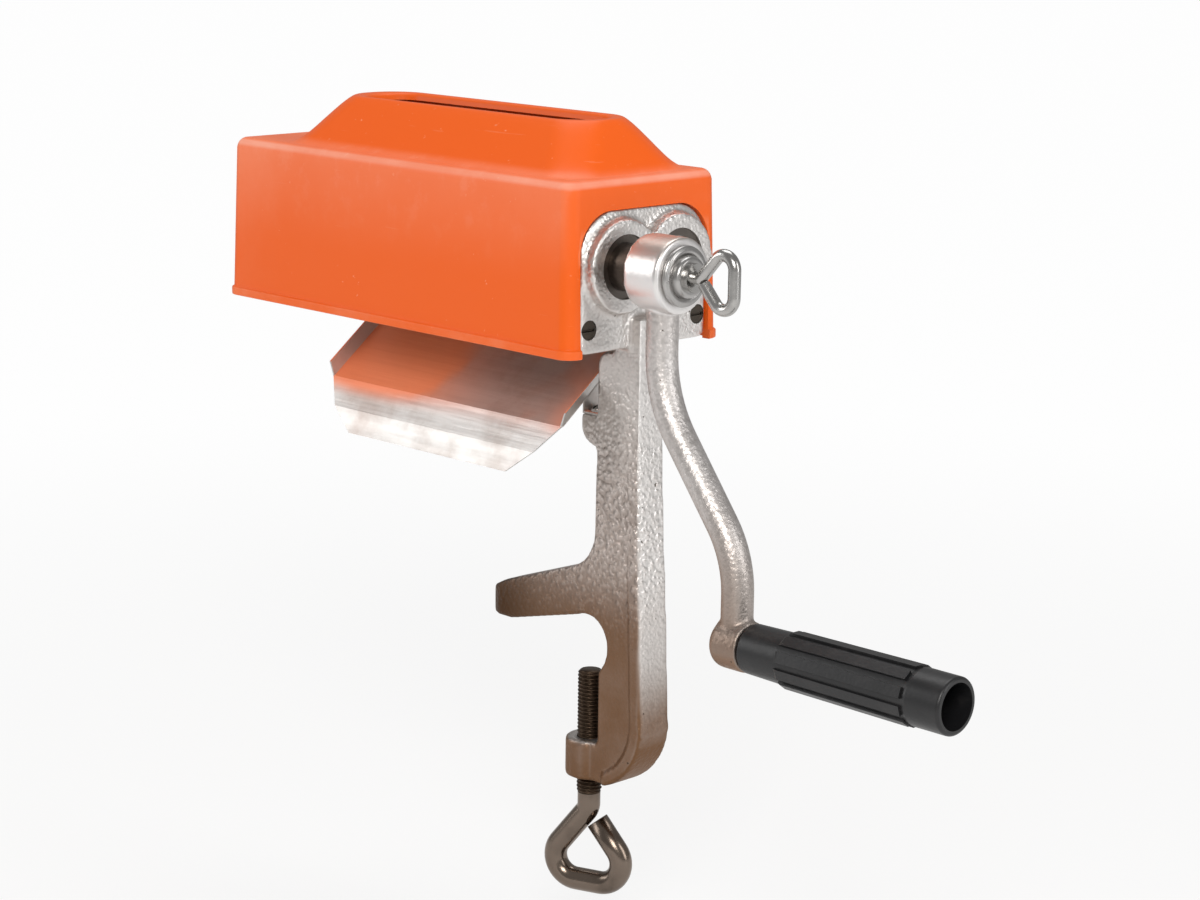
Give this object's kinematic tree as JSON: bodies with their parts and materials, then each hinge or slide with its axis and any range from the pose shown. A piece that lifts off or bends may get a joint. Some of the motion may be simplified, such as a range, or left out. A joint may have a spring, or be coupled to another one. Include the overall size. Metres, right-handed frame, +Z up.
{
  "type": "hand cranked meat tenderizer",
  "caption": "Hand cranked meat tenderizer: meshing blade rollers on a bearing column with a table clamp, moulded hopper cover, sheet tray, bent crank and turning grip.",
  "frame": {"origin": "centre of the flat pad under the tip of the upper clamp arm, which rests on the table top", "axes": "+Z up, -Z out of the pad into the table; +X along the rollers towards the crank and the grip; +Y to the machine's back, away from the tray's outlet"},
  "size_m": [0.3644, 0.082, 0.3048],
  "materials": {
    "cast_metal": "sand cast, satin",
    "crank_metal": "sand cast, satin, machined hub",
    "bush_metal": "dark bronze, oiled",
    "shaft_steel": "turned",
    "blade_steel": "stamped stainless",
    "gear_steel": "cut",
    "tray_steel": "brushed stainless sheet",
    "screw_steel": "zinc plated",
    "wire_steel": "nickel plated wire",
    "screw_dark": "plated wire and rolled thread, slightly dulled",
    "orange_plastic": "moulded, semi-gloss, fine scratches",
    "black_plastic": "moulded, semi-gloss",
    "inner_plastic": "white food-grade plastic"
  },
  "bodies": {
    "frame": {"support_casting": "cast_metal", "far_plate": "cast_metal", "front_crank_bush": "bush_metal", "rear_crank_bush": "bush_metal", "front_far_bush": "bush_metal", "rear_far_bush": "bush_metal", "front_tie_rod": "shaft_steel", "rear_tie_rod": "shaft_steel", "tie_rod_screws": "screw_steel", "front_comb": "inner_plastic", "rear_comb": "inner_plastic", "discharge_tray": "tray_steel", "tray_screw": "screw_steel"},
    "front_roller": {"front_shaft": "shaft_steel", "front_blades": "blade_steel", "front_spacers": "inner_plastic", "front_gear": "gear_steel", "front_gear_key": "shaft_steel", "front_gear_clip": "screw_steel", "crank_arm": "crank_metal", "thumb_washer": "screw_steel", "handle_pin": "screw_steel", "handle_washer": "screw_steel"},
    "rear_roller": {"rear_shaft": "shaft_steel", "rear_blades": "blade_steel", "rear_spacers": "inner_plastic", "rear_gear": "gear_steel", "rear_gear_key": "shaft_steel", "rear_gear_clip": "screw_steel"},
    "grip": {"handle_grip": "black_plastic"},
    "thumb_screw": {"thumb_screw": "wire_steel"},
    "cover": {"hopper_cover": "orange_plastic"},
    "clamp_screw": {"clamp_screw": "screw_dark"}
  },
  "joints": [
    {"name": "crank_turn", "type": "hinge", "parent": "frame", "child": "front_roller", "pos_m": [0, -0.014, 0.149], "axis": [1, 0, 0], "continuous": true},
    {"name": "rear_roller_turn", "type": "hinge", "parent": "frame", "child": "rear_roller", "pos_m": [0, 0.014, 0.149], "axis": [1, 0, 0], "continuous": true},
    {"name": "grip_turn", "type": "hinge", "parent": "front_roller", "child": "grip", "pos_m": [0.16, -0.014, 0.019], "axis": [1, 0, 0], "continuous": true},
    {"name": "thumb_screw_travel", "type": "slide", "parent": "front_roller", "child": "thumb_screw", "axis": [1, 0, 0], "range_m": [0, 0.01]},
    {"name": "cover_lift", "type": "slide", "parent": "frame", "child": "cover", "axis": [0, 0, 1], "range_m": [0, 0.1]},
    {"name": "clamp_screw_travel", "type": "slide", "parent": "frame", "child": "clamp_screw", "axis": [0, 0, 1], "range_m": [-0.026, 0.008]}
  ],
  "couplings": [
    {"joint": "rear_roller_turn", "follows": "crank_turn", "ratio": -1}
  ]
}
